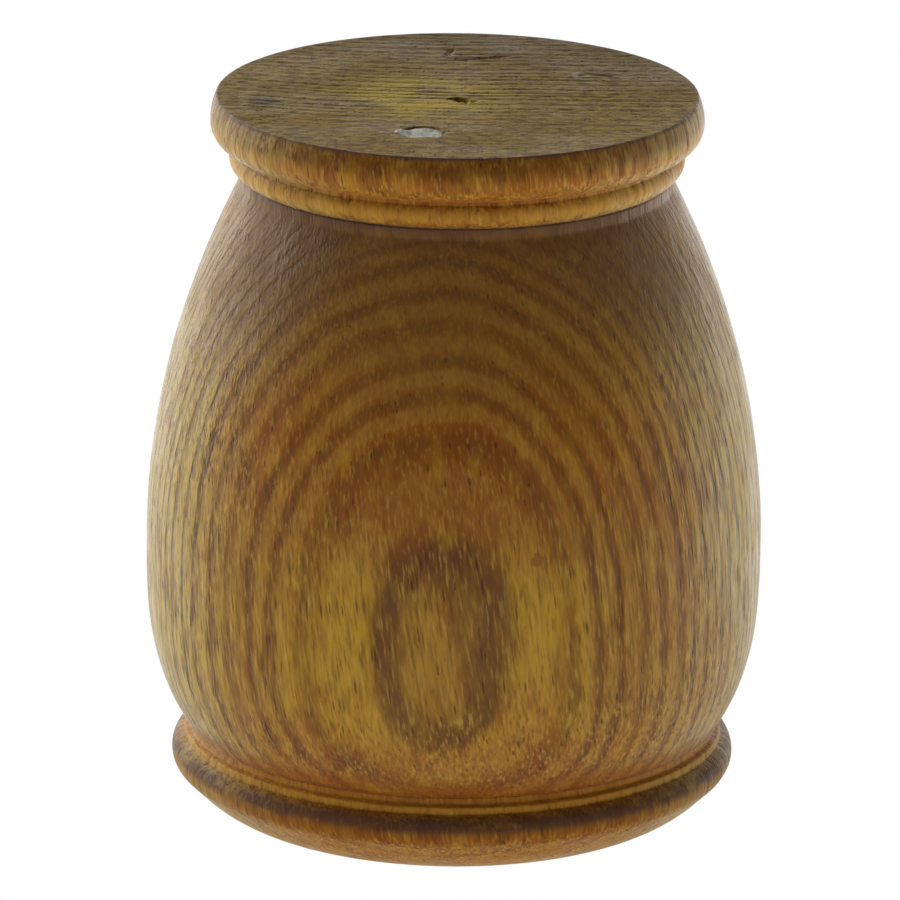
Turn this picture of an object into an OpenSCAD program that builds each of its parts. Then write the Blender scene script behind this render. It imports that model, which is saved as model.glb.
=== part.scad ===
// Barrel-shaped hand shaker, turned from wood.
// Frame: the foot's flat rests on z = 0, the turning axis is +Z, and the front is -Y.
// All sizes are in millimetres.

/* [Overall] */
// Height from the foot's flat to the top face
height = 74; // [73:0.5:76]
// Width of the gap that keeps a loose bead clear of what it lies on
bead_gap = 0.1; // [0.05:0.05:0.2]

/* [Barrel] */
// Height of the seam between the base cap and the barrel
base_seam_z = 9.2; // [9:0.1:10]
// Height of the barrel's widest ring
belly_z = 28.4; // [26:0.2:32]
// Radius of the widest ring
belly_r = 30.9; // [29:0.1:33]
// Radius of the barrel where it meets the base cap
barrel_foot_r = 26.7; // [26.2:0.1:28]
// Radius of the neck where the barrel meets the end cap
neck_r = 21.7; // [21:0.1:22]
// Height of the short straight neck
neck_h = 1.2; // [0.8:0.1:2]
// Fullness of the barrel's curve below its widest ring
lower_fullness = 3.2; // [2:0.1:4]
// Fullness of the barrel's curve above its widest ring
upper_fullness = 2; // [1.6:0.1:2.6]

/* [Hollow] */
// Radius of the bore that the hollow is made with
hollow_r = 22.5; // [22:0.1:23]
// Radius of the round corner under the hollow's ceiling
hollow_corner_r = 10; // [8:0.5:11]
// Thickness of the wood between the hollow's ceiling and the neck seam
ceiling_t = 8.2; // [7.5:0.1:9]
// Radius of the bore through the neck
neck_bore_r = 11.5; // [10:0.1:12]

/* [Base cap] */
// Radius of the flat that the shaker stands on
foot_flat_r = 19; // [18:0.25:19.25]
// Radius of the rounding from the foot's flat up to the bead ring
foot_round_r = 10.4; // [10:0.1:10.5]
// Radius of the bead ring's round section
ring_section_r = 2; // [1.6:0.1:2.2]
// Largest radius of the bead ring
ring_r = 28.35; // [28:0.05:29]
// Height of the bead ring's middle
ring_z = 5.8; // [5.4:0.1:6]
// Radius of the narrow fillet above the bead ring
base_fillet_r = 27.1; // [26.9:0.1:27.4]
// Height of the top of that fillet
base_fillet_z = 8.3; // [8.1:0.1:8.6]
// Depth of the groove between the fillet and the barrel
base_groove_depth = 0.2; // [0.1:0.05:0.4]
// Thickness of the floor that the beads lie on
floor_t = 6; // [5:0.5:7]
// Height of the spigot that the barrel is glued to
base_spigot_h = 4.8; // [3:0.2:6]
// Wall thickness of that spigot
base_spigot_t = 2.2; // [1.8:0.1:2.4]

/* [End cap] */
// Height of the end cap above the neck seam
cap_h = 7.8; // [7.6:0.1:8.2]
// Radius of the top face at its sharp edge
top_r = 24; // [23.5:0.1:24.5]
// Largest radius of the flange
flange_r = 24.6; // [24.6:0.05:25]
// Distance of the flange's largest radius below the top face
flange_drop = 2.6; // [2.4:0.1:2.8]
// Radius of the rounding under the flange
flange_round_r = 2.2; // [2:0.1:2.4]
// Radius at the bottom of the groove under the flange
cap_groove_r = 22.3; // [22:0.1:22.4]
// Largest radius of the small bead above the neck
cap_bead_r = 22.7; // [22.5:0.1:22.9]
// Radius of that bead's round section
cap_bead_section_r = 1.5; // [1.4:0.1:1.6]
// Radius of the end cap where it meets the neck
cap_seat_r = 21.8; // [21.5:0.1:22]
// Place of the small pit in the top face, to the right of the axis
pit_x = 0.4; // [-2:0.1:2]
// Place of the pit, behind the axis (or in front of it, where negative)
pit_y = -2.2; // [-4:0.1:4]
// Depth of the pit
pit_depth = 1.2; // [0.6:0.1:1.6]
// Radius of the pit at the top face
pit_r = 0.9; // [0.6:0.1:1.2]
// Radius of the pit at its bottom
pit_bottom_r = 0.1; // [0.05:0.05:0.3]

/* [Nails] */
// Diameter of a nail's shank
shank_d = 1.6; // [1.2:0.1:2]
// Diameter of a nail's head
nail_head_d = 4; // [3.4:0.1:4.4]
// Thickness of a nail's head
nail_head_t = 0.8; // [0.6:0.1:1]
// Length of a nail under its head
shank_l = 12; // [10:0.5:12.5]
// Depth of the bare nail's head below the top face
bare_depth = 0.2; // [0.1:0.1:0.4]
// Depth of the punched nails' heads below the top face
punched_depth = 1.5; // [1.2:0.1:1.8]

/* [Beads] */
// Diameter of a loose bead
bead_d = 7; // [6:0.1:7]
// Distance between the centres of neighbouring beads at rest
bead_pitch = 7.9; // [7.6:0.1:8]

/* [Hidden] */
$fn = 96;
// Straight steps in each half of the barrel's curve
curve_steps = 24;
// Length by which a cut runs past the surface that it opens
overrun = 1;
top_z = height;
neck_seam_z = height - cap_h;
shoulder_z = neck_seam_z - neck_h;
ceiling_z = neck_seam_z - ceiling_t;
cap_bead_z = neck_seam_z + cap_bead_section_r;
cap_groove_z = cap_bead_z + cap_bead_section_r / 3;
flange_z = top_z - flange_drop;
bead_r = bead_d / 2;
// Rings of beads around the middle one
bead_rings = 2;

// Each nail: name, distance from the axis, angle about the axis, depth of its head
NAILS = [
    ["front", 14.9, 257, bare_depth],
    ["left", 19.5, 190, punched_depth],
    ["back", 16.1, 85, punched_depth],
    ["right", 15, 28, punched_depth]
];
PUNCHED = [for (nail = NAILS) if (nail[3] == punched_depth) nail];

// Centres of the beads at rest, on a six-sided pattern around the axis
BEADS = [
    for (row = [-bead_rings : bead_rings])
        for (col = [-bead_rings : bead_rings])
            if (abs(row + col) <= bead_rings)
                [bead_pitch * (col + row / 2), bead_pitch * row * sqrt(3) / 2]
];

function nail_node(nail) = str(nail[0], "_nail");
function filler_node(nail) = str(nail[0], "_hole_filler");
function bead_node(i) = str("bead_", i < 9 ? "0" : "", i + 1);

// Radius of the barrel's outside at height z
function barrel_r(z) = z < belly_z
    ? belly_r - (belly_r - barrel_foot_r)
        * pow((belly_z - z) / (belly_z - base_seam_z), lower_fullness)
    : belly_r - (belly_r - neck_r)
        * pow((z - belly_z) / (shoulder_z - belly_z), upper_fullness);

function barrel_side(from_z, to_z) = [
    for (i = [0 : curve_steps])
        let (z = from_z + (to_z - from_z) * i / curve_steps)
            [barrel_r(z), z]
];

module at_nail(nail) {
    rotate([0, 0, nail[2]]) translate([nail[1], 0, 0]) children();
}

// The hole that one nail fills, from above the top face down to its point
module nail_hole(nail) {
    head_z = top_z - nail[3] - nail_head_t;
    at_nail(nail) {
        translate([0, 0, head_z]) cylinder(d = nail_head_d, h = top_z - head_z + overrun);
        translate([0, 0, head_z - shank_l]) cylinder(d = shank_d, h = shank_l + overrun);
    }
}

module barrel_outline() {
    polygon(concat(
        [[0, base_seam_z]],
        barrel_side(base_seam_z, belly_z),
        barrel_side(belly_z + (shoulder_z - belly_z) / curve_steps, shoulder_z),
        [[neck_r, neck_seam_z], [0, neck_seam_z]]
    ));
}

// Half section of the hollow: a straight bore with a round corner under its ceiling
module hollow_outline() {
    corner_x = hollow_r - hollow_corner_r;
    corner_z = ceiling_z - hollow_corner_r;
    square([hollow_r, corner_z]);
    square([corner_x, ceiling_z]);
    translate([corner_x, corner_z]) circle(hollow_corner_r);
}

module barrel() {
    color("#8a5a22") difference() {
        rotate_extrude() barrel_outline();
        rotate_extrude() intersection() {
            hollow_outline();
            square([hollow_r, ceiling_z]);
        }
        cylinder(r = neck_bore_r, h = neck_seam_z + overrun);
        for (nail = NAILS) nail_hole(nail);
    }
}

module base_outline() {
    intersection() {
        translate([foot_flat_r, foot_round_r]) circle(foot_round_r);
        translate([foot_flat_r, 0]) square([foot_round_r, ring_z - ring_section_r / 2]);
    }
    square([foot_flat_r, base_seam_z]);
    translate([ring_r - ring_section_r, ring_z]) circle(ring_section_r);
    translate([0, ring_z - ring_section_r])
        square([base_fillet_r, base_fillet_z - ring_z + ring_section_r]);
    translate([0, ring_z])
        square([barrel_foot_r - base_groove_depth, base_seam_z - ring_z]);
}

module base_cap() {
    color("#a46f2b") difference() {
        union() {
            rotate_extrude() base_outline();
            translate([0, 0, ring_z])
                cylinder(r = hollow_r, h = base_seam_z + base_spigot_h - ring_z);
        }
        translate([0, 0, floor_t])
            cylinder(r = hollow_r - base_spigot_t, h = base_seam_z + base_spigot_h);
    }
}

// Half section of the end cap above the neck seam
module cap_outline() {
    // This radius carries the flange's upper curve through the top face's edge
    edge_in = flange_r - top_r;
    upper_r = (edge_in * edge_in + flange_drop * flange_drop) / (2 * edge_in);
    translate([0, neck_seam_z]) square([cap_seat_r, top_z - neck_seam_z]);
    translate([cap_bead_r - cap_bead_section_r, cap_bead_z]) circle(cap_bead_section_r);
    translate([0, cap_groove_z]) square([cap_groove_r, flange_z - cap_groove_z]);
    translate([flange_r - flange_round_r, flange_z]) circle(flange_round_r);
    intersection() {
        translate([flange_r - upper_r, flange_z]) circle(upper_r);
        translate([0, flange_z]) square([flange_r, flange_drop]);
    }
}

module end_cap() {
    color("#7d5a2c") difference() {
        union() {
            rotate_extrude() cap_outline();
            translate([0, 0, ceiling_z])
                cylinder(r = neck_bore_r, h = neck_seam_z - ceiling_z + overrun);
        }
        translate([pit_x, pit_y, top_z - pit_depth])
            cylinder(r1 = pit_bottom_r, r2 = pit_r, h = pit_depth);
        for (nail = NAILS) nail_hole(nail);
    }
}

module closing_nail(nail) {
    head_z = top_z - nail[3] - nail_head_t;
    color("#8f918a") at_nail(nail) {
        translate([0, 0, head_z]) cylinder(d = nail_head_d, h = nail_head_t);
        translate([0, 0, head_z - shank_l]) cylinder(d = shank_d, h = shank_l);
    }
}

module hole_filler(nail) {
    color("#77654a") at_nail(nail)
        translate([0, 0, top_z - nail[3]]) cylinder(d = nail_head_d, h = nail[3]);
}

module loose_bead(centre) {
    color("#b98a4e")
        translate([centre[0], centre[1], floor_t + bead_gap + bead_r]) sphere(bead_r);
}

barrel();
base_cap();
end_cap();
for (nail = NAILS)
    closing_nail(nail);
for (nail = PUNCHED)
    hole_filler(nail);
for (i = [0 : len(BEADS) - 1])
    loose_bead(BEADS[i]);
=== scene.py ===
"""Looks for the barrel-shaped hand shaker: turned ring-porous wood under a satin varnish.

Lengths in this file are in millimetres, and become metres where Blender is given a mesh, a place or
a bump. The front is -Y, the left is -X and the turning axis is Z.
"""

import math

import bmesh
import bpy
import numpy as np
from mathutils import Matrix, Vector, noise


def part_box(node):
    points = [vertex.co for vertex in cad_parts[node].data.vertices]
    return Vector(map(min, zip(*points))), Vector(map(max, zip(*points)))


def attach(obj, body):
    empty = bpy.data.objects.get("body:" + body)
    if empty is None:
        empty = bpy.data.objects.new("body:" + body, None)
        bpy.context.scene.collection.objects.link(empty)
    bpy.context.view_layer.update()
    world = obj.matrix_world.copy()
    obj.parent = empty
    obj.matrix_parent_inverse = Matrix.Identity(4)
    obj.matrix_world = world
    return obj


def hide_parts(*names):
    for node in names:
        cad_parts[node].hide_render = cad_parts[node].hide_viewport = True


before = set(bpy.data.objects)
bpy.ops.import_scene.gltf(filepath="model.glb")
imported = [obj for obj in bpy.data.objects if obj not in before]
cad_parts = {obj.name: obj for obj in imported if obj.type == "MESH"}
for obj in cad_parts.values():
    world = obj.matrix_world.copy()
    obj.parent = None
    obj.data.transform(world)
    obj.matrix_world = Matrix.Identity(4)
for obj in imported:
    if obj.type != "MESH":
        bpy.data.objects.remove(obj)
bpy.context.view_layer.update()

MM = 0.001
X_AXIS, Y_AXIS, Z_AXIS = (1, 0, 0), (0, 1, 0), (0, 0, 1)


def node_box(node):
    """Lowest and highest corner of a CAD node, in millimetres."""
    low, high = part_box(node)
    return low / MM, high / MM


BARREL_LOW, BARREL_HIGH = node_box("barrel")
_, BASE_HIGH = node_box("base_cap")
CAP_LOW, CAP_HIGH = node_box("end_cap")

# The turned shape, as in the CAD model
BASE_SEAM_Z = BARREL_LOW.z
NECK_SEAM_Z = BARREL_HIGH.z
TOP_Z = CAP_HIGH.z
BELLY_R = BARREL_HIGH.x
BELLY_Z = 28.4
BARREL_FOOT_R = 26.7
NECK_R = 21.7
SHOULDER_Z = NECK_SEAM_Z - 1.2
# Powers that the barrel's radius falls by, below and above the belly
LOWER_FULLNESS = 3.2
UPPER_FULLNESS = 2.0
HOLLOW_R = 22.5
HOLLOW_CORNER_R = 10.0
CEILING_Z = CAP_LOW.z
NECK_BORE_R = 11.5
FOOT_FLAT_R = 19.0
FOOT_ROUND_R = 10.4
RING_R = BASE_HIGH.x
RING_Z = 5.8
RING_SECTION_R = 2.0
BASE_FILLET_R = 27.1
BASE_FILLET_Z = 8.3
BASE_GROOVE_R = 26.5
BASE_GROOVE_RISE = 0.25
FLOOR_Z = 6.0
SPIGOT_TOP_Z = BASE_HIGH.z
SPIGOT_INNER_R = 20.3
TOP_R = 24.0
FLANGE_R = CAP_HIGH.x
FLANGE_DROP = 2.6
FLANGE_ROUND_R = 2.2
CAP_BEAD_R = 22.7
CAP_BEAD_SECTION_R = 1.5
CAP_SEAT_R = 21.8
# Where the rounded shapes meet their neighbours, in degrees: 0 outward and 90 upward
FOOT_ROUND_END = -44
RING_ENDS = (-40, 67)
CAP_BEAD_ENDS = (-66, 43)
FLANGE_ROUND_START = -92
# The small pit near the middle of the top face
PIT_PLACE = (0.4, -2.2)
PIT_R = 0.9
PIT_DEPTH = 1.2

# Wire nails
NAIL_HEAD_R = 2.0
HEAD_T = 0.8
HEAD_RIM_T = 0.48
HAMMERED_T = 0.3
SHANK_R = 0.8
SHANK_L = 12.0
POINT_L = 2.2
HEAD_TILT = 0.14
BURR_ANGLE = math.radians(176)
BURR_RISE = 0.25
BURR_REACH = 0.45

# Each nail: distance from the axis, angle about the axis, depth of its head under the top face
NAILS = {
    "front": (14.9, 257.0, 0.2),
    "left": (19.5, 190.0, 1.5),
    "back": (16.1, 85.0, 1.5),
    "right": (15.0, 28.0, 1.5),
}
# Those whose heads are punched down and hidden under a wood stopping
PUNCHED = ("left", "back", "right")
# Each stopping has a thin brim, which covers the edge of the hole
STOPPING_BRIM = 0.6
STOPPING_EDGE = 0.03
STOPPING_BRIM_T = 0.4
STOPPING_RISE = 0.01

# Year rings are sheets across the block, nearly upright and facing the front, and the turned front
# cuts them as nested ovals. Each term bends them: a factor, a power of X and a power of the height
# over the belly.
SHEET_TERMS = (
    (0.036, 1, 0), (-0.0030, 2, 0), (6.7e-5, 3, 0), (0.00087, 1, 1),
    (0.0066, 0, 1), (-0.0022, 0, 2), (1.0e-4, 0, 3), (2.7e-5, 2, 1),
)
# Depths behind the belly's front where the years begin, and the share of a year that is past at 0
FRONT_EDGES = (0.56, 2.75, 3.9, 5.15, 6.8, 8.4, 10.3, 11.6, 13.4, 14.6)
FRONT_PHASE = 0.38
# Deeper years are of this mean width, and wander about it by a wave of this size and pace
DEEP_YEAR = 1.5
DEEP_WANDER = 0.35
DEEP_PACE = 0.9
# Waves in the sheets: size, pace along X, pace along Z, start
GRAIN_WAVES = ((0.10, 0.21, 0.05, 1.3), (0.08, 0.47, 0.11, 4.0))
# How far the foot's and the cap's blocks are shifted across the rings from the barrel's block
FOOT_SHIFT = 0.35
CAP_SHIFT = -2.4
# Sideways lean of the fibres per millimetre of height
GRAIN_SLANT = 0.13
# Shifts a noise pattern along X, Y and Z, times its seed
SEED_SHIFT = (7.3, 3.1, 5.7)

# Old knocks in the barrel's side: angle about the axis, height, radius, depth
KNOCKS = (
    (247.0, 12.5, 1.3, 0.22),
    (285.5, 34.8, 0.9, 0.10),
)

# Scratches in the top face: route, half-width, depth
SCRATCHES = (
    (((-0.9, -2.0), (0.0, -1.6), (0.6, -2.0), (0.9, -3.2)), 0.30, 0.45),
    (((1.4, -2.8), (1.8, -2.6)), 0.30, 0.30),
    (((-0.7, 17.2), (-1.0, 14.6), (0.1, 13.5), (1.3, 13.7), (5.0, 14.9)), 0.40, 0.20),
    (((11.5, 7.0), (13.0, 8.3), (15.2, 7.6)), 0.40, 0.12),
)

# Marks in the top face, stains and two painted highlights: place, radius, colour as share of white
TOP_MARKS = (
    ((-19.2, -3.2), 2.2, (0.07, 0.055, 0.04)),
    # A painted highlight on the left stopping
    ((-18.3, -5.3), 0.9, (0.32, 0.25, 0.14)),
    ((12.2, 7.8), 1.4, (0.38, 0.33, 0.22)),
    # A painted highlight on the back scratch
    ((-0.8, 15.8), 1.1, (0.42, 0.32, 0.23)),
    ((1.8, 13.9), 1.2, (0.30, 0.17, 0.11)),
)

# Relief of the worn top face: soft wood between the year rings, small grain and slow waves. It
# fades out between two distances from the rim.
RING_WEAR = 0.07
GRAIN_RELIEF = 0.05
FACE_WAVES = 0.05
FACE_FADE = (0.9, 0.2)
# Points this near the top face's level belong to it
LEVEL = 0.01
# Waviness of the turned sides, slow and quick. Nothing within the still radius is wavy.
SLOW_WAVES = 0.05
QUICK_WAVES = 0.02
STILL_R = 5

# Places in the wood's colour as pairs: where a change starts and where it is complete. Y is counted
# from the axis towards the back, Z from the table up, and DEPTH across the year rings.
FRONT_Y = (-14, -27)
POLISHED_Y = (-17, -27)
# The flank entries place the pale flanks, partly painted sheen of the light grazing the sides
FLANK_Y = (-24, -13)
FLANK_FADE_Y = (16, -8)
# Where the barrel is darker high up: a dull veil, partly painted shade of the upper flanks
SHADE_VEIL_Y = (-24, -17)
SHADE_VEIL_FADE_Y = (-15, -6)
SHADE_VEIL_Z = (44, 62)
FLANK_Z = (64, 44)
GOLDEN_TOP_Z = (42, 30)
GOLDEN_FOOT_Z = (12, 18)
RUBBED_TOP_Z = (30, 40)
RUBBED_FOOT_Z = (19, 13)
POLISHED_Z = (28, 56)
GOLDEN_DEPTH_START = (0.4, 0.7)
GOLDEN_DEPTH_END = (3.6, 2.4)
HEART_DEPTH_START = (0.05, 0.3)
HEART_DEPTH_END = (0.8, 0.5)

# The top face: the place and reach of its rubbed patch, and the direction and reach of its grey
# haze, partly dust and partly painted sheen from the bright back
RUBBED_PLACE = (-3.5, -1.5)
RUBBED_REACH = (12, 2)
DUST_SHEEN_SIDE = (0.4, 0.9, 0)
DUST_SHEEN_REACH = (2, 22)
FACE_SPECULAR = 0.12

# The satin varnish
VARNISH_SPECULAR = 0.2
VARNISH_SHEEN = 0.6
SHEEN_ROUGHNESS = 0.24
SHEEN_TINT = (1.0, 0.98, 0.82, 1.0)

STEEL_METALLIC = 0.6

# The floor, and the strength of the light that it throws on the object: near it, before it and
# behind it. The directions are those in which the strength changes, with where it starts and ends.
FLOOR_R = 3000
FLOOR_DROP = 0.1
FLOOR_NEAR = 0.75
FLOOR_NEAR_REACH = (75, 25)
FLOOR_FRONT = 1.0
FLOOR_BACK = 2.2
FLOOR_BACK_SIDE = (0.3, 0.95, 0)
FLOOR_BACK_REACH = (-60, 120)

# The tent's strength from front to back, and the factors for its shaded top and for left to right.
# The reaches are shares of the directions' length.
TENT_FRONT = 0.02
TENT_BACK = 2.6
TENT_BACK_REACH = (-0.25, 0.5)
TENT_TOP = 0.05
TENT_TOP_SIDE = (0.35, -0.50, 0.79)
TENT_TOP_REACH = (-0.1, 0.55)
TENT_LEFT = 1.6
TENT_RIGHT = 0.55
TENT_RIGHT_REACH = (-0.6, 0.6)

SOFTBOX_WATTS = 0.5
SOFTBOX_SIZE = (500, 350)
SOFTBOX_PLACE = (-150, -550, 900)
SOFTBOX_TARGET = (0, 0, 50)

# Angles in degrees. The distance is from the top of the axis.
CAMERA_LENS = 400
CAMERA_SENSOR = 36
CAMERA_RISE = 15.06
CAMERA_DISTANCE = 994.5
CAMERA_TARGET = (-0.45, 0, 37.0)
CAMERA_ROLL = 0.5


def srgb(red, green, blue):
    """A colour as Cycles wants it, from the usual 0 to 255 values."""
    shares = (red / 255, green / 255, blue / 255)
    return tuple(c / 12.92 if c <= 0.04045 else ((c + 0.055) / 1.055) ** 2.4 for c in shares)


EARTH = srgb(168, 116, 32)
GOLD = srgb(198, 148, 30)
# Pale cream of the flanks, partly painted sheen
PALE_SHEEN = srgb(196, 180, 108)
BROWN = srgb(102, 62, 28)
UMBER = srgb(112, 80, 46)
PORE = srgb(66, 38, 20)
FLECK = srgb(212, 170, 72)
RUST = srgb(156, 82, 16)
RUST_DARK = srgb(112, 50, 22)
# Dark brown of the painted shade under the cap's bead and on the foot ring's upper side; also the
# dark line round the top face's edge
SHADE_AND_GRIME = srgb(100, 70, 56)
HONEY = srgb(208, 150, 56)
RUST_LIT = srgb(206, 124, 50)

# The bare top face and the nails
FACE_DARK = srgb(117, 89, 31)
FACE_LIGHT = srgb(158, 129, 49)
FACE_RING = srgb(92, 64, 30)
FACE_RUBBED = srgb(206, 180, 68)
FACE_RED = srgb(150, 90, 46)
FACE_PIT = srgb(52, 38, 22)
# Grey of the haze towards the back of the top face, partly painted sheen
FACE_DUST_SHEEN = srgb(96, 88, 74)
STEEL_LIGHT = srgb(150, 150, 132)
STEEL_SPOTTED = srgb(112, 110, 90)

# Bands of colour round the turned sides: height, half-width, strength, size of patches, colour
BARREL_BANDS = (
    (BASE_SEAM_Z + 0.4, 2.6, 0.6, 3.0, RUST),
    (BASE_SEAM_Z, 0.6, 0.4, 3.0, RUST_DARK),
    # Painted shade under the cap: a broad brown band on the shoulder and a dark line at the joint
    (NECK_SEAM_Z - 0.8, 2.6, 0.5, 3.0, BROWN),
    (NECK_SEAM_Z, 0.8, 0.6, 3.0, SHADE_AND_GRIME),
)
BASE_BANDS = (
    (RING_Z - 4.4, 4.0, 0.4, 3.0, HONEY),
    (RING_Z - 0.3, 1.3, 0.4, 3.0, RUST),
    (BASE_SEAM_Z - 0.3, 0.9, 0.5, 3.0, RUST_LIT),
    # Painted highlight on the fillet's outward face
    (BASE_FILLET_Z - 0.1, 0.8, 0.7, 0.6, HONEY),
    # Painted shade on the upper side of the foot's ring, which faces the dim overhead
    (RING_Z + 0.9, 1.1, 0.85, 5.0, SHADE_AND_GRIME),
)
CAP_BANDS = (
    (NECK_SEAM_Z + 1.5, 1.1, 0.6, 1.4, HONEY),
    (NECK_SEAM_Z + 3.1, 0.8, 0.6, 3.0, RUST),
    (TOP_Z - 2.9, 1.1, 0.25, 1.6, RUST_LIT),
    (TOP_Z - 0.9, 1.8, 0.5, 4.0, BROWN),
    # Painted shadow where the cap's bead meets the barrel
    (NECK_SEAM_Z, 0.45, 0.8, 3.0, SHADE_AND_GRIME),
    (TOP_Z, 0.5, 0.85, 3.0, SHADE_AND_GRIME),
)


# ---------------------------------------------------------------- turned outlines

TINY = 1e-6
SIDE_POINTS = 110
NEARLY_STRAIGHT = math.radians(155)
EASE_POINTS = 5


def arc(centre_r, centre_z, radius, start, end, steps=24):
    """Points on an arc; angles in degrees, 0 outward and 90 upward."""
    angles = np.radians(np.linspace(start, end, steps + 1))
    return [(centre_r + radius * math.cos(a), centre_z + radius * math.sin(a)) for a in angles]


def barrel_r(z):
    """Radius of the barrel's side at a height."""
    if z < BELLY_Z:
        reach = (BELLY_Z - z) / (BELLY_Z - BASE_SEAM_Z)
        return BELLY_R - (BELLY_R - BARREL_FOOT_R) * reach ** LOWER_FULLNESS
    reach = (z - BELLY_Z) / (SHOULDER_Z - BELLY_Z)
    return BELLY_R - (BELLY_R - NECK_R) * reach ** UPPER_FULLNESS


def barrel_outline():
    side = [(barrel_r(z), z) for z in np.linspace(SHOULDER_Z, BASE_SEAM_Z, SIDE_POINTS)]
    corner = arc(HOLLOW_R - HOLLOW_CORNER_R, CEILING_Z - HOLLOW_CORNER_R, HOLLOW_CORNER_R, 0, 90)
    return [(NECK_BORE_R, NECK_SEAM_Z), (NECK_R, NECK_SEAM_Z), *side,
            (HOLLOW_R, BASE_SEAM_Z), *corner, (NECK_BORE_R, CEILING_Z)]


def base_outline():
    # A short straight run fills the crease between the rounding and the bead ring, as polish does
    rounding = arc(FOOT_FLAT_R, FOOT_ROUND_R, FOOT_ROUND_R, -90, FOOT_ROUND_END)
    ring = arc(RING_R - RING_SECTION_R, RING_Z, RING_SECTION_R, *RING_ENDS)
    return [(0, 0), *rounding, *ring, (BASE_FILLET_R, BASE_FILLET_Z),
            (BASE_GROOVE_R, BASE_FILLET_Z + BASE_GROOVE_RISE), (BASE_GROOVE_R, BASE_SEAM_Z),
            (HOLLOW_R, BASE_SEAM_Z), (HOLLOW_R, SPIGOT_TOP_Z), (SPIGOT_INNER_R, SPIGOT_TOP_Z),
            (SPIGOT_INNER_R, FLOOR_Z), (0, FLOOR_Z)]


def cap_outline():
    flange_z = TOP_Z - FLANGE_DROP
    edge_in = FLANGE_R - TOP_R
    upper_r = (edge_in ** 2 + FLANGE_DROP ** 2) / (2 * edge_in)
    bead_z = NECK_SEAM_Z + CAP_BEAD_SECTION_R
    bead = arc(CAP_BEAD_R - CAP_BEAD_SECTION_R, bead_z, CAP_BEAD_SECTION_R, *CAP_BEAD_ENDS)
    lower = arc(FLANGE_R - FLANGE_ROUND_R, flange_z, FLANGE_ROUND_R, FLANGE_ROUND_START, 0)
    edge_angle = math.degrees(math.asin(FLANGE_DROP / upper_r))
    upper = arc(FLANGE_R - upper_r, flange_z, upper_r, 0, edge_angle)
    return [(0, CEILING_Z), (NECK_BORE_R, CEILING_Z), (NECK_BORE_R, NECK_SEAM_Z),
            (CAP_SEAT_R, NECK_SEAM_Z), *bead, *lower, *upper, (0, TOP_Z)]


def ease_corners(path, cut, closed):
    """The path with each sharp corner cut back and rounded, as handling and sanding leave it."""
    eased = []
    count = len(path)
    for i, here in enumerate(path):
        if not closed and i in (0, count - 1):
            eased.append(here)
            continue
        here = Vector(here)
        before, after = Vector(path[i - 1]) - here, Vector(path[(i + 1) % count]) - here
        if before.length < TINY or after.length < TINY:
            continue
        if before.angle(after) > NEARLY_STRAIGHT:
            eased.append(tuple(here))
            continue
        start = here + before.normalized() * min(cut, before.length / 2)
        end = here + after.normalized() * min(cut, after.length / 2)
        for t in np.linspace(0, 1, EASE_POINTS):
            point = start * (1 - t) ** 2 + here * 2 * t * (1 - t) + end * t ** 2
            eased.append(tuple(point))
    return eased


def split_long(path, step, closed):
    """The path with points added so that none of its stretches is longer than step."""
    ends = path[1:] + path[:1] if closed else path[1:]
    points = []
    for a, b in zip(path, ends):
        pieces = max(1, math.ceil(math.dist(a, b) / step))
        for k in range(pieces):
            t = k / pieces
            points.append((a[0] + (b[0] - a[0]) * t, a[1] + (b[1] - a[1]) * t))
    return points if closed else points + [path[-1]]


# ---------------------------------------------------------------- meshes

def lathe(path, closed, turns=480):
    """Vertices in millimetres and faces of the path turned about Z."""
    angles = np.linspace(0, 2 * math.pi, turns, endpoint=False)
    verts, rows = [], []
    for r, z in path:
        if r < TINY:
            rows.append([len(verts)] * turns)
            verts.append((0.0, 0.0, z))
        else:
            rows.append(list(range(len(verts), len(verts) + turns)))
            verts.extend((r * math.cos(a), r * math.sin(a), z) for a in angles)
    if closed:
        rows.append(rows[0])
    faces = []
    for low, high in zip(rows, rows[1:]):
        for k in range(turns):
            n = (k + 1) % turns
            face = [low[k], low[n], high[n], high[k]]
            face = [v for i, v in enumerate(face) if v != face[i - 1]]
            if len(face) > 2:
                faces.append(face)
    return np.array(verts), faces


def make_piece(name, verts, faces, materials, body="shaker"):
    """A smooth-shaded object from vertices in millimetres, riding on a CAD body."""
    mesh = bpy.data.meshes.new(name)
    mesh.from_pydata((np.asarray(verts) * MM).tolist(), [], faces)
    for material in materials:
        mesh.materials.append(material)
    shell = bmesh.new()
    shell.from_mesh(mesh)
    bmesh.ops.recalc_face_normals(shell, faces=shell.faces)
    shell.to_mesh(mesh)
    shell.free()
    mesh.shade_smooth()
    piece = bpy.data.objects.new(name, mesh)
    bpy.context.scene.collection.objects.link(piece)
    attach(piece, body)
    return piece


def noise_at(points, scale, seed):
    """Soft noise from -1 to 1 at each point; scale is in millimetres per wave along X, Y and Z."""
    shift = Vector([seed * shift for shift in SEED_SHIFT])
    return np.array([
        noise.noise(Vector((x / scale[0], y / scale[1], z / scale[2])) + shift)
        for x, y, z in points
    ])


def smooth_step(low, high, value):
    """Soft step of each value from 0 at low to 1 at high."""
    t = np.clip((value - low) / (high - low), 0, 1)
    return t * t * (3 - 2 * t)


def ring_depth(verts):
    """How deep each point lies behind the belly's front, across the year rings."""
    x, y, z = verts.T
    over = z - BELLY_Z
    bends = sum(size * x ** across * over ** up for size, across, up in SHEET_TERMS)
    depth = BELLY_R + y + bends
    for size, along_x, along_z, start in GRAIN_WAVES:
        depth = depth + size * np.sin(along_x * x + along_z * z + start)
    return depth


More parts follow.
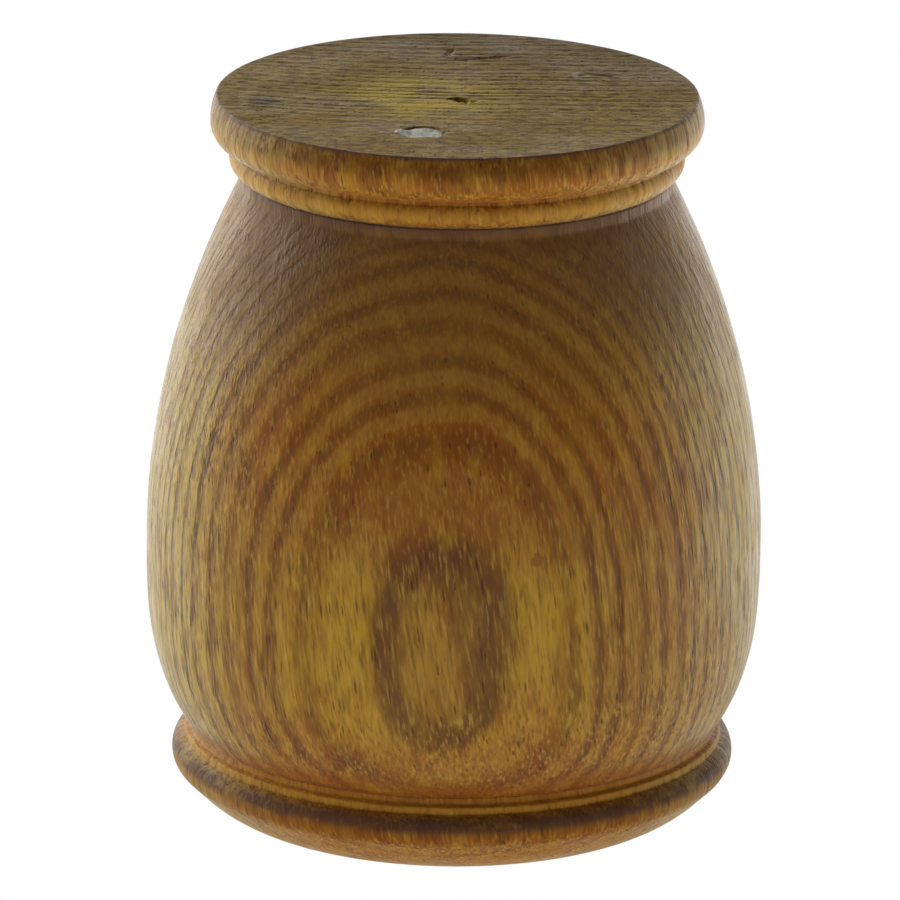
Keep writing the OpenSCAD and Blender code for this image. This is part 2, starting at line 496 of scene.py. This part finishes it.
def ring_age(verts):
    """Share of a year at each point: dense wood just after 0, and porous wood shortly before 1."""
    depth = ring_depth(verts)
    years = range(1, len(FRONT_EDGES) + 1)
    phase = np.interp(depth, [0, *FRONT_EDGES], [FRONT_PHASE, *years])
    deep = np.maximum(depth - FRONT_EDGES[-1], 0)
    return (phase + (deep + DEEP_WANDER * np.sin(DEEP_PACE * deep)) / DEEP_YEAR) % 1


def groove(verts, route, half_width, depth):
    """A scratch of this depth along a route of points on the top face."""
    dent = np.zeros(len(verts))
    flat = verts[:, :2]
    for a, b in zip(route, route[1:]):
        a, b = np.array(a), np.array(b)
        along = np.clip((flat - a) @ (b - a) / ((b - a) @ (b - a)), 0, 1)
        away = np.linalg.norm(flat - a - along[:, None] * (b - a), axis=1)
        dent = np.maximum(dent, 1 - smooth_step(half_width / 3, half_width, away))
    return dent * depth


# ---------------------------------------------------------------- material nodes

class Graph:
    """Adds and links the nodes of one material or world."""

    def __init__(self, tree):
        self.tree = tree

    def node(self, kind, **settings):
        """A new shader node of this kind."""
        made = self.tree.nodes.new("ShaderNode" + kind)
        for name, value in settings.items():
            setattr(made, name, value)
        return made

    def put(self, socket, value):
        """Link a value that a node makes, or write a plain one."""
        if isinstance(value, bpy.types.NodeSocket):
            self.tree.links.new(value, socket)
        else:
            socket.default_value = value

    def maths(self, operation, *values):
        """What a Math node makes of the values."""
        made = self.node("Math", operation=operation)
        for socket, value in zip(made.inputs, values):
            self.put(socket, value)
        return made.outputs[0]

    def total(self, first, *others):
        """The sum of the values."""
        for other in others:
            first = self.maths("ADD", first, other)
        return first

    def product(self, first, *others):
        """The product of the values."""
        for other in others:
            first = self.maths("MULTIPLY", first, other)
        return first

    def dot(self, point, direction):
        """How far the point lies along a direction."""
        made = self.node("VectorMath", operation="DOT_PRODUCT")
        self.put(made.inputs[0], point)
        made.inputs[1].default_value = direction
        return made.outputs["Value"]

    def away(self, point, centre):
        """Distance of the point from a centre."""
        made = self.node("VectorMath", operation="DISTANCE")
        self.put(made.inputs[0], point)
        made.inputs[1].default_value = centre
        return made.outputs["Value"]

    def step(self, low, high, value, bottom=0.0, top=1.0):
        """Soft step of the value from bottom at low to top at high."""
        made = self.node("MapRange", interpolation_type="SMOOTHSTEP")
        for socket, number in zip(made.inputs, (value, low, high, bottom, top)):
            self.put(socket, number)
        return made.outputs[0]

    def ramp(self, low, high, value, top):
        """Straight rise of the value from 0 at low to top at high, and level beyond them."""
        made = self.node("MapRange")
        for socket, number in zip(made.inputs, (value, low, high, 0.0, top)):
            self.put(socket, number)
        return made.outputs[0]

    def scaled(self, point, size, seed=0):
        """The point counted in cells of this size along X, Y and Z, shifted by the seed."""
        made = self.node("VectorMath", operation="MULTIPLY_ADD")
        self.put(made.inputs[0], point)
        made.inputs[1].default_value = [1 / length for length in size]
        made.inputs[2].default_value = [seed * shift for shift in SEED_SHIFT]
        return made.outputs[0]

    def noise(self, point, size, seed=0, detail=2.0):
        """Soft noise around 0.5; size is in millimetres along X, Y and Z."""
        made = self.node("TexNoise")
        self.put(made.inputs["Vector"], self.scaled(point, size, seed))
        made.inputs["Scale"].default_value = 1.0
        made.inputs["Detail"].default_value = detail
        return made.outputs[0]

    def cells(self, point, size, seed=0):
        """Distance from the nearest cell's middle, and that cell's chance number from 0 to 1."""
        made = self.node("TexVoronoi")
        self.put(made.inputs["Vector"], self.scaled(point, size, seed))
        made.inputs["Scale"].default_value = 1.0
        split = self.node("SeparateColor")
        self.put(split.inputs[0], made.outputs["Color"])
        return made.outputs["Distance"], split.outputs[0]

    def mix(self, amount, low, high):
        """Colour from low at 0 to high at 1."""
        made = self.node("Mix", data_type="RGBA")
        self.put(made.inputs[0], amount)
        # The colour sockets share their names with those for plain numbers and vectors
        for socket, colour in zip(made.inputs[6:8], (low, high)):
            plain = not isinstance(colour, bpy.types.NodeSocket)
            self.put(socket, (*colour, 1.0) if plain else colour)
        return made.outputs[2]

    def bump(self, height):
        """Surface normal for a height in millimetres."""
        made = self.node("Bump")
        made.inputs["Distance"].default_value = MM
        self.put(made.inputs["Height"], height)
        return made.outputs[0]


def new_material(name):
    """A material with its graph, its shader, and the object's own coordinates in millimetres."""
    material = bpy.data.materials.new(name)
    material.use_nodes = True
    graph = Graph(material.node_tree)
    shader = material.node_tree.nodes["Principled BSDF"]
    coordinates = graph.node("TexCoord").outputs["Object"]
    millimetres = graph.node("VectorMath", operation="SCALE")
    graph.put(millimetres.inputs[0], coordinates)
    millimetres.inputs["Scale"].default_value = 1 / MM
    return material, graph, shader, millimetres.outputs[0]


# ---------------------------------------------------------------- wood

def year_phase(graph, depth):
    """Number of years from the first ring to this depth; the fraction is the share of the year."""
    phase = FRONT_PHASE
    start = 0.0
    gain = 1 - FRONT_PHASE
    for edge in FRONT_EDGES:
        phase = graph.total(graph.ramp(start, edge, depth, gain), phase)
        start, gain = edge, 1.0
    deep = graph.maths("MAXIMUM", graph.total(depth, -start), 0.0)
    wander = graph.product(graph.maths("SINE", graph.product(deep, DEEP_PACE)), DEEP_WANDER)
    return graph.total(phase, graph.product(graph.total(deep, wander), 1 / DEEP_YEAR))


def ring_depth_nodes(graph, point, shift, upright):
    """The same depth as ring_depth gives, made with nodes and shifted.

    The rings of an upright block don't change with height, apart from their waves.
    """
    x = graph.dot(point, X_AXIS)
    over = graph.total(graph.dot(point, Z_AXIS), -BELLY_Z)
    depth = graph.total(graph.dot(point, Y_AXIS), BELLY_R + shift)
    for size, across, up in SHEET_TERMS:
        if not (upright and up):
            depth = graph.total(depth, graph.product(size, *[x] * across, *[over] * up))
    for size, along_x, along_z, start in GRAIN_WAVES:
        wave = graph.maths("SINE", graph.total(graph.dot(point, (along_x, 0, along_z)), start))
        depth = graph.total(depth, graph.product(wave, size))
    return depth


def year_rings(graph, point, shift, upright, coarse=1.0):
    """Ring depth at a point, and how porous and how dense the wood is there, from 0 to 1."""
    small = graph.product(graph.noise(point, (0.6, 0.6, 3.5), seed=3), 0.35)
    large = graph.product(graph.noise(point, (1.8, 1.8, 9), seed=17), 0.55)
    open_grain = graph.total(graph.product(coarse, 0.6), 0.4)
    ragged = graph.product(graph.total(small, large, -0.45), open_grain)
    depth = ring_depth_nodes(graph, point, shift, upright)
    phase = year_phase(graph, graph.total(depth, ragged))
    share = graph.maths("FRACT", phase)
    porous = graph.product(graph.step(0.4, 0.8, share), graph.step(1.0, 0.85, share))
    dense = graph.product(graph.step(0.0, 0.12, share), graph.step(0.6, 0.4, share))
    chance = graph.node("TexWhiteNoise", noise_dimensions="1D")
    graph.put(chance.inputs["W"], graph.maths("FLOOR", phase))
    strength = graph.total(graph.product(chance.outputs["Value"], 0.35), 0.65)
    gaps = graph.step(0.6, 0.4, graph.noise(point, (1.3, 1.3, 4.0), seed=18), 0.0, 0.6)
    broken = graph.maths("SUBTRACT", 1.0, graph.product(gaps, coarse))
    return depth, graph.product(porous, strength, broken), graph.product(dense, strength)


def slanted(graph, point):
    """The point in coordinates that follow the slight slant of the grain."""
    slant = graph.node("CombineXYZ")
    graph.put(slant.inputs["X"], graph.product(graph.dot(point, Z_AXIS), GRAIN_SLANT))
    straight = graph.node("VectorMath", operation="ADD")
    graph.put(straight.inputs[0], point)
    graph.put(straight.inputs[1], slant.outputs[0])
    return straight.outputs[0]


def wood_tone(graph, point, depth, upright):
    """Colour of the wood at large: golden years, a brown heart, a reddish front, and pale flanks
    that are partly painted sheen of the light grazing the sides.
    """
    stain = graph.noise(point, (8, 8, 14), seed=4)
    behind = graph.dot(point, Y_AXIS)
    up = graph.dot(point, Z_AXIS)
    outer = graph.product(
        graph.step(*GOLDEN_DEPTH_END, depth), graph.step(*GOLDEN_DEPTH_START, depth)
    )
    golden = graph.product(outer, graph.step(*GOLDEN_TOP_Z, up), graph.step(*GOLDEN_FOOT_Z, up))
    golden = graph.maths("MAXIMUM", golden, graph.step(0.55, 0.75, stain, 0.0, 0.5))
    front = graph.step(*FRONT_Y, behind)
    rubbed = graph.total(
        graph.step(*RUBBED_TOP_Z, up, 0.0, 0.65), graph.step(*RUBBED_FOOT_Z, up, 0.0, 0.55)
    )
    aged = graph.total(graph.step(0.5, 0.25, stain, 0.0, 0.4), graph.product(front, rubbed))
    heart = graph.product(
        graph.step(*HEART_DEPTH_START, depth), graph.step(*HEART_DEPTH_END, depth), front, 0.45
    )
    # Pale flanks, partly painted sheen of the grazing light: less of it at the back and high up
    flank_sheen = graph.step(*FLANK_Y, behind, 0.0, 0.65 if upright else 0.75)
    flank_sheen = graph.product(flank_sheen, graph.step(*FLANK_FADE_Y, behind, 0.15, 1.0))
    if not upright:
        flank_sheen = graph.product(flank_sheen, graph.step(*FLANK_Z, up, 0.3, 1.0))
    colour = graph.mix(golden, EARTH, GOLD)
    colour = graph.mix(flank_sheen, colour, PALE_SHEEN)
    colour = graph.mix(aged, colour, RUST)
    return graph.mix(heart, colour, BROWN)


def coarseness(graph, point, upright):
    """How open the grain is, from 0 to 1: in patches, and less where hands have polished it.

    That is the front of the barrel, most of all high up. The upright pieces have patches only.
    """
    patches = graph.step(0.35, 0.65, graph.noise(point, (2.5, 2.5, 7), seed=20), 0.5, 1.0)
    if upright:
        return patches
    front = graph.step(*POLISHED_Y, graph.dot(point, Y_AXIS))
    height = graph.step(*POLISHED_Z, graph.dot(point, Z_AXIS), 0.3, 0.9)
    return graph.product(graph.maths("SUBTRACT", 1.0, graph.product(front, height)), patches)


def shaded_veil(graph, point, colour):
    """The colour under a dull brown veil high on the barrel, densest between front and flanks; it
    softens the ring figure and is partly painted shade of the upper flanks.
    """
    behind = graph.dot(point, Y_AXIS)
    sides = graph.total(
        graph.step(*SHADE_VEIL_Y, behind, 0.45, 0.85), graph.step(*SHADE_VEIL_FADE_Y, behind, 0.0, -0.45)
    )
    veil_shade = graph.product(graph.step(*SHADE_VEIL_Z, graph.dot(point, Z_AXIS)), sides)
    return graph.mix(veil_shade, colour, UMBER)


def wood_figure(graph, point, shift, upright, contrast):
    """Colour, relief and pores of the wood itself, before bands of dirt and the finish."""
    coarse = coarseness(graph, point, upright)
    depth, porous, dense = year_rings(graph, point, shift, upright, coarse)
    along = slanted(graph, point)
    fibre = graph.noise(along, (0.27, 0.27, 2.4), seed=1, detail=3.0)
    strand = graph.noise(along, (0.8, 0.8, 6), seed=2)
    blotch = graph.noise(along, (0.8, 0.8, 1.8), seed=19)
    patch = graph.noise(along, (1.8, 1.8, 5), seed=16)
    colour = wood_tone(graph, point, depth, upright)
    colour = graph.mix(graph.step(0.50, 0.68, patch, 0.0, 0.35), colour, GOLD)
    colour = graph.mix(graph.step(0.50, 0.32, patch, 0.0, 0.4), colour, RUST)
    colour = graph.mix(graph.product(dense, 0.25, contrast), colour, FLECK)
    shown = graph.product(porous, contrast, graph.total(graph.product(coarse, 0.6), 0.4))
    colour = graph.mix(shown, colour, BROWN)
    clear = graph.total(graph.product(coarse, 0.7), 0.3)
    # Light and dark marks: noise, where they start and are complete, strength, where seen, colour
    for figure, start, full, strength, where, tone in (
        (blotch, 0.52, 0.70, 0.2, coarse, FLECK),
        (blotch, 0.48, 0.30, 0.3, coarse, BROWN),
        (fibre, 0.52, 0.68, 0.7, clear, FLECK),
        (fibre, 0.48, 0.32, 0.75, clear, BROWN),
        (strand, 0.50, 0.30, 0.6, coarse, BROWN),
    ):
        marks = graph.product(graph.step(start, full, figure, 0.0, strength), where)
        colour = graph.mix(marks, colour, tone)
    middle, chance = graph.cells(along, (0.30, 0.30, 2.8), seed=5)
    likely = graph.product(graph.total(graph.product(porous, 0.5), 0.14), coarse)
    pore = graph.product(graph.step(0.42, 0.18, middle), graph.maths("LESS_THAN", chance, likely))
    colour = graph.mix(graph.product(pore, 0.6), colour, PORE)
    # Darker high on the barrel: a dull veil, partly painted shade
    if not upright:
        colour = shaded_veil(graph, point, colour)
    grain = graph.total(
        graph.product(fibre, 0.12), graph.product(strand, 0.13), graph.product(porous, -0.07)
    )
    relief = graph.total(graph.product(grain, coarse), graph.product(pore, -0.05))
    return colour, relief, pore


def tinted_bands(graph, point, colour, bands):
    """The colour with bands round the axis mixed in: patina, dirt and worn edges, painted shade
    under the cap's bead and on the foot ring's upper side, and a painted highlight on the foot's
    fillet.
    """
    up = graph.dot(point, Z_AXIS)
    for height, half, strength, patch, tone in bands:
        patches = graph.noise(point, (patch, patch, 1.5), seed=6)
        patchy = graph.step(0.38, 0.56, patches, 0.55, 1.0)
        reach = graph.maths("ABSOLUTE", graph.total(up, -height))
        amount = graph.product(graph.step(half, half * 0.2, reach, 0.0, strength), patchy)
        colour = graph.mix(amount, colour, tone)
    return colour


def varnished_wood(
    name, bands, shift=0.0, upright=False, contrast=0.95, shine=1.0, knocks=()
):
    """Turned side of a wooden piece under a thin satin varnish.

    The shift and upright say how its block lies across the year rings, contrast is the strength of
    those rings, and each knock is a bruise with a centre and a radius.
    """
    material, graph, shader, point = new_material(name)
    colour, relief, pore = wood_figure(graph, point, shift, upright, contrast)
    colour = tinted_bands(graph, point, colour, bands)
    ragged = graph.product(graph.noise(point, (0.5, 0.5, 0.9), seed=21), 1.6)
    for centre, radius in knocks:
        reach = graph.product(graph.away(point, centre), graph.total(ragged, 0.2))
        bruise = graph.step(radius, radius * 0.5, reach, 0.0, 0.5)
        colour = graph.mix(bruise, colour, RUST_DARK)
    worn = graph.noise(point, (5, 5, 7), seed=7)
    gloss = graph.total(graph.step(0.35, 0.7, worn, 0.40, 0.54), graph.product(pore, 0.2))
    graph.put(shader.inputs["Base Color"], colour)
    graph.put(shader.inputs["Roughness"], gloss)
    shader.inputs["Specular IOR Level"].default_value = VARNISH_SPECULAR * shine
    shader.inputs["Sheen Weight"].default_value = VARNISH_SHEEN * shine
    shader.inputs["Sheen Roughness"].default_value = SHEEN_ROUGHNESS
    shader.inputs["Sheen Tint"].default_value = SHEEN_TINT
    graph.put(shader.inputs["Normal"], graph.bump(relief))
    return material


def end_grain(name):
    """Bare, rubbed end grain of the top face, dulled by handling."""
    material, graph, shader, point = new_material(name)
    _, porous, _ = year_rings(graph, point, CAP_SHIFT, upright=True)
    mottle = graph.noise(point, (1.0, 0.6, 2), seed=8, detail=4.0)
    patch = graph.noise(point, (9, 6, 9), seed=9)
    colour = graph.mix(graph.step(0.35, 0.65, mottle), FACE_DARK, FACE_LIGHT)
    colour = graph.mix(graph.product(porous, 0.5), colour, FACE_RING)
    from_middle = graph.away(point, (*RUBBED_PLACE, TOP_Z))
    rubbed = graph.product(graph.step(*RUBBED_REACH, from_middle), graph.step(0.35, 0.55, patch))
    colour = graph.mix(graph.product(rubbed, 0.7), colour, FACE_RUBBED)
    red = graph.step(0.58, 0.70, graph.noise(point, (1.6, 0.5, 2), seed=10), 0.0, 0.5)
    colour = graph.mix(red, colour, FACE_RED)
    middle, chance = graph.cells(point, (0.42, 0.42, 4.5), seed=11)
    pit = graph.product(graph.step(0.38, 0.18, middle), graph.maths("LESS_THAN", chance, 0.5))
    colour = graph.mix(graph.product(pit, 0.5), colour, FACE_PIT)
    # Greyer towards the back: partly dust, partly painted sheen from the bright back
    dust_sheen = graph.step(*DUST_SHEEN_REACH, graph.dot(point, DUST_SHEEN_SIDE), 0.0, 0.45)
    colour = graph.mix(dust_sheen, colour, FACE_DUST_SHEEN)
    # Stains, and painted highlights on the left stopping and the back scratch
    for centre, radius, tone in TOP_MARKS:
        spot = graph.step(radius, radius * 0.4, graph.away(point, (*centre, TOP_Z)))
        broken = graph.step(0.40, 0.55, mottle, 0.3, 1.0)
        colour = graph.mix(graph.product(spot, broken, 0.85), colour, tone)
    relief = graph.total(graph.product(mottle, 0.14), graph.product(pit, -0.05))
    graph.put(shader.inputs["Base Color"], colour)
    graph.put(shader.inputs["Roughness"], graph.step(0.3, 0.7, patch, 0.62, 0.8))
    shader.inputs["Specular IOR Level"].default_value = FACE_SPECULAR
    graph.put(shader.inputs["Normal"], graph.bump(relief))
    return material


def nail_steel(name):
    """Old grey steel, dull and faintly spotted."""
    material, graph, shader, point = new_material(name)
    spots = graph.noise(point, (0.9, 0.9, 0.9), seed=14, detail=3.0)
    scuffs = graph.noise(point, (0.2, 1.2, 0.6), seed=15)
    colour = graph.mix(graph.step(0.35, 0.65, spots), STEEL_LIGHT, STEEL_SPOTTED)
    graph.put(shader.inputs["Base Color"], colour)
    shader.inputs["Metallic"].default_value = STEEL_METALLIC
    graph.put(shader.inputs["Roughness"], graph.step(0.3, 0.7, scuffs, 0.45, 0.65))
    relief = graph.total(graph.product(spots, 0.02), graph.product(scuffs, 0.01))
    graph.put(shader.inputs["Normal"], graph.bump(relief))
    return material


# ---------------------------------------------------------------- the pieces

def on_circle(radius, degrees):
    """A place at this distance from the axis and angle about it, as X and Y."""
    angle = math.radians(degrees)
    return radius * math.cos(angle), radius * math.sin(angle)


def uneven(verts):
    """The slight waviness that a hand-held gouge and years of use leave on a turned surface."""
    away = np.linalg.norm(verts[:, :2], axis=1)
    swell = SLOW_WAVES * noise_at(verts, (14, 14, 9), 3)
    swell += QUICK_WAVES * noise_at(verts, (3, 3, 6), 4)
    stretch = 1 + np.where(away > STILL_R, swell / np.maximum(away, STILL_R), 0)
    return verts * np.column_stack((stretch, stretch, np.ones(len(verts))))


def end_face(verts):
    """How far the worn top face stands above (+) or below (-) its flat, nail holes aside."""
    away = np.linalg.norm(verts[:, :2], axis=1)
    # An upright block shows the same rings at every height, so they are read at the belly
    age = ring_age(verts + (0, CAP_SHIFT, BELLY_Z - TOP_Z))
    soft = smooth_step(0.45, 0.85, age) * (1 - smooth_step(0.93, 1.0, age))
    wear = 0.25 + 0.75 * smooth_step(-16, -4, verts[:, 1])
    rise = -RING_WEAR * soft * wear
    rise += GRAIN_RELIEF * noise_at(verts, (0.9, 0.35, 1), 1)
    rise += FACE_WAVES * noise_at(verts, (9, 7, 1), 2)
    fade_start, fade_end = FACE_FADE
    rise *= 1 - smooth_step(TOP_R - fade_start, TOP_R - fade_end, away)
    from_pit = np.linalg.norm(verts[:, :2] - PIT_PLACE, axis=1)
    rise -= PIT_DEPTH * np.clip(1 - from_pit / PIT_R, 0, 1)
    for route, half_width, depth in SCRATCHES:
        rise -= groove(verts, route, half_width, depth)
    return rise


def nail_holes(verts):
    """Depth of the holes over the nail heads, a hair deeper and a little wider than the heads."""
    deeper, wider = 0.05, 0.3
    depths = np.zeros(len(verts))
    for radius, degrees, depth in NAILS.values():
        x, y = on_circle(radius, degrees)
        reach = np.hypot(verts[:, 0] - x, verts[:, 1] - y)
        inside = 1 - smooth_step(NAIL_HEAD_R, NAIL_HEAD_R + wider, reach)
        depths += (depth + deeper) * inside
    return depths


def turned(outline, corner, step, closed=False, turns=480):
    """Vertices and faces of a turned piece with eased corners."""
    path = split_long(ease_corners(outline, corner, closed), step, closed)
    return lathe(path, closed, turns)


def build_barrel():
    verts, faces = turned(barrel_outline(), corner=0.25, step=0.7, closed=True)
    shaped = uneven(verts)
    bruises = []
    for degrees, z, radius, depth in KNOCKS:
        x, y = on_circle(barrel_r(z), degrees)
        reach = np.linalg.norm(verts - (x, y, z), axis=1)
        outward = verts * (1, 1, 0) / barrel_r(z)
        dent = depth * (1 - smooth_step(0.0, radius, reach))
        shaped -= outward * dent[:, None]
        bruises.append(((x, y, z), radius))
    material = varnished_wood("barrel_wood", BARREL_BANDS, knocks=bruises)
    piece = make_piece("turned_barrel", shaped, faces, [material])
    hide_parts("barrel")


def build_base_cap():
    verts, faces = turned(base_outline(), corner=0.2, step=0.6)
    material = varnished_wood(
        "base_cap_wood", BASE_BANDS, shift=FOOT_SHIFT, upright=True, contrast=0.4, shine=0.4
    )
    piece = make_piece("turned_foot", uneven(verts), faces, [material])
    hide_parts("base_cap")


def build_end_cap(top_grain):
    verts, faces = turned(cap_outline(), corner=0.2, step=0.25)
    away = np.hypot(verts[:, 0], verts[:, 1])
    on_face = (verts[:, 2] > TOP_Z - LEVEL) & (away < TOP_R - 0.1)
    side = varnished_wood(
        "end_cap_wood", CAP_BANDS, shift=CAP_SHIFT, upright=True, contrast=0.5, shine=0.5
    )
    piece = make_piece("turned_cap", verts, faces, [side, top_grain])
    mesh = piece.data
    for polygon in mesh.polygons:
        polygon.material_index = int(all(on_face[i] for i in polygon.vertices))
    shaped = uneven(verts)
    shaped[on_face, 2] += end_face(verts[on_face]) - nail_holes(verts[on_face])
    mesh.vertices.foreach_set("co", (shaped * MM).ravel())
    mesh.update()
    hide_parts("end_cap")


def nail_outline(head_z):
    """A wire nail from the middle of its head to its point."""
    shank_z = head_z - HEAD_T
    point_z = shank_z - SHANK_L
    return [(0, head_z), (NAIL_HEAD_R, head_z), (NAIL_HEAD_R, head_z - HEAD_RIM_T),
            (SHANK_R, shank_z), (SHANK_R, point_z + POINT_L), (0, point_z)]


def build_nail(side, radius, degrees, depth, steel):
    """A hammered nail. Its head is tilted up towards the back, and only a bare one has a burr."""
    head_z = TOP_Z - depth
    verts, faces = turned(nail_outline(head_z), corner=0.25, step=0.2, turns=64)
    away = np.hypot(verts[:, 0], verts[:, 1])
    angle = np.arctan2(verts[:, 1], verts[:, 0])
    on_head = verts[:, 2] > head_z - HAMMERED_T
    burr = np.zeros(len(verts))
    if side not in PUNCHED:
        burr = smooth_step(1.2, 1.9, away) * smooth_step(0.8, 1.0, np.cos(angle - BURR_ANGLE))
    lift = HEAD_TILT * away / NAIL_HEAD_R * np.sin(angle) + BURR_RISE * burr
    lift += 0.03 * noise_at(verts, (1.2, 1.2, 9), 5)
    stretch = np.where(on_head, 1 + BURR_REACH * burr, 1)
    verts[:, 2] += np.where(on_head, lift, 0)
    verts[:, :2] *= stretch[:, None]
    x, y = on_circle(radius, degrees)
    piece = make_piece(f"{side}_wire_nail", verts + (x, y, 0), faces, [steel])
    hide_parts(f"{side}_nail")


def build_filler(side, radius, degrees, depth, material):
    """A wooden stopping, flush with the face around it and covering the edge of its hole."""
    low_z = TOP_Z - depth
    brim_r = NAIL_HEAD_R + STOPPING_BRIM
    outline = [(0, low_z), (NAIL_HEAD_R, low_z), (NAIL_HEAD_R, TOP_Z - STOPPING_BRIM_T),
               (brim_r, TOP_Z), (brim_r - STOPPING_EDGE, TOP_Z), (0, TOP_Z)]
    verts, faces = lathe(split_long(outline, 0.2, closed=False), closed=False, turns=72)
    x, y = on_circle(radius, degrees)
    verts = verts + (x, y, 0)
    on_face = verts[:, 2] > TOP_Z - LEVEL
    verts[:, 2] += np.where(on_face, end_face(verts) + STOPPING_RISE, 0)
    piece = make_piece(f"{side}_stopping", verts, faces, [material])
    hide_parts(f"{side}_hole_filler")


def finish_beads():
    """Loose beads keep their CAD shape and get a wood of their own."""
    material = varnished_wood("bead_wood", ())
    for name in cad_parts:
        if name.startswith("bead_"):
            bead = bpy.data.objects[name]
            for place in bead.material_slots:
                place.material = material


build_barrel()
build_base_cap()
top_grain = end_grain("end_grain")
build_end_cap(top_grain)
steel = nail_steel("nail_steel")
for side, (radius, degrees, depth) in NAILS.items():
    build_nail(side, radius, degrees, depth, steel)
    if side in PUNCHED:
        build_filler(side, radius, degrees, depth, top_grain)
finish_beads()


# ---------------------------------------------------------------- floor, light and camera

def build_floor():
    """A white table, wide enough that its edge is never in view, seen evenly white.

    The light that it throws back is dimmer under the object and brighter behind it.
    """
    bpy.ops.mesh.primitive_circle_add(
        vertices=96, radius=FLOOR_R * MM, fill_type="NGON", location=(0, 0, -FLOOR_DROP * MM)
    )
    floor = bpy.context.object
    floor.name = "floor"
    material, graph, shader, point = new_material("floor_white")
    backward = graph.dot(point, FLOOR_BACK_SIDE)
    behind = graph.step(*FLOOR_BACK_REACH, backward, FLOOR_FRONT, FLOOR_BACK)
    near = graph.step(*FLOOR_NEAR_REACH, graph.away(point, (0, 0, 0)))
    lit = graph.total(behind, graph.product(near, graph.maths("SUBTRACT", FLOOR_NEAR, behind)))
    seen = graph.node("LightPath").outputs["Is Camera Ray"]
    glow = graph.total(seen, graph.product(graph.maths("SUBTRACT", 1.0, seen), lit))
    shader.inputs["Base Color"].default_value = (0, 0, 0, 1)
    shader.inputs["Specular IOR Level"].default_value = 0.0
    shader.inputs["Emission Color"].default_value = (1, 1, 1, 1)
    graph.put(shader.inputs["Emission Strength"], glow)
    floor.data.materials.append(material)


def build_surround():
    """A white tent: bright behind the object and at its left, dim overhead and at the camera."""
    world = bpy.data.worlds.new("tent")
    bpy.context.scene.world = world
    world.use_nodes = True
    world.node_tree.nodes.clear()
    graph = Graph(world.node_tree)
    direction = graph.node("TexCoord").outputs["Generated"]
    backward = graph.dot(direction, Y_AXIS)
    upward = graph.dot(direction, TENT_TOP_SIDE)
    rightward = graph.dot(direction, X_AXIS)
    from_behind = graph.step(*TENT_BACK_REACH, backward, TENT_FRONT, TENT_BACK)
    from_above = graph.step(*TENT_TOP_REACH, upward, 1.0, TENT_TOP)
    from_side = graph.step(*TENT_RIGHT_REACH, rightward, TENT_LEFT, TENT_RIGHT)
    tent = graph.node("Background")
    graph.put(tent.inputs["Strength"], graph.product(from_behind, from_above, from_side))
    seen = graph.node("Background")
    seen.inputs["Color"].default_value = (1, 1, 1, 1)
    choice = graph.node("MixShader")
    graph.put(choice.inputs[0], graph.node("LightPath").outputs["Is Camera Ray"])
    graph.put(choice.inputs[1], tent.outputs[0])
    graph.put(choice.inputs[2], seen.outputs[0])
    graph.put(graph.node("OutputWorld").inputs[0], choice.outputs[0])


def aim(thing, target, roll=0.0):
    """Point a light or camera's -Z axis at a target in millimetres, turned by roll degrees."""
    look = (Vector(target) * MM - thing.location).to_track_quat("-Z", "Y")
    turn = Matrix.Rotation(math.radians(roll), 3, "Z")
    thing.rotation_euler = (look.to_matrix() @ turn).to_euler()


def build_softbox():
    """A weak overhead panel that gives the varnish its faint sheen."""
    light = bpy.data.lights.new("softbox", "AREA")
    light.shape = "RECTANGLE"
    light.size, light.size_y = (length * MM for length in SOFTBOX_SIZE)
    light.energy = SOFTBOX_WATTS
    lamp = bpy.data.objects.new("softbox", light)
    bpy.context.scene.collection.objects.link(lamp)
    lamp.location = Vector(SOFTBOX_PLACE) * MM
    aim(lamp, SOFTBOX_TARGET)


def build_camera():
    """A long lens a metre away, 15 degrees above the horizon."""
    data = bpy.data.cameras.new("camera")
    data.lens = CAMERA_LENS
    data.sensor_width = CAMERA_SENSOR
    camera = bpy.data.objects.new("camera", data)
    bpy.context.scene.collection.objects.link(camera)
    bpy.context.scene.camera = camera
    rise = math.radians(CAMERA_RISE)
    back = Vector((0, -math.cos(rise), math.sin(rise)))
    camera.location = (Vector((0, 0, TOP_Z)) + back * CAMERA_DISTANCE) * MM
    aim(camera, CAMERA_TARGET, CAMERA_ROLL)


build_floor()
build_surround()
build_softbox()
build_camera()
bpy.context.scene.view_settings.view_transform = "Standard"
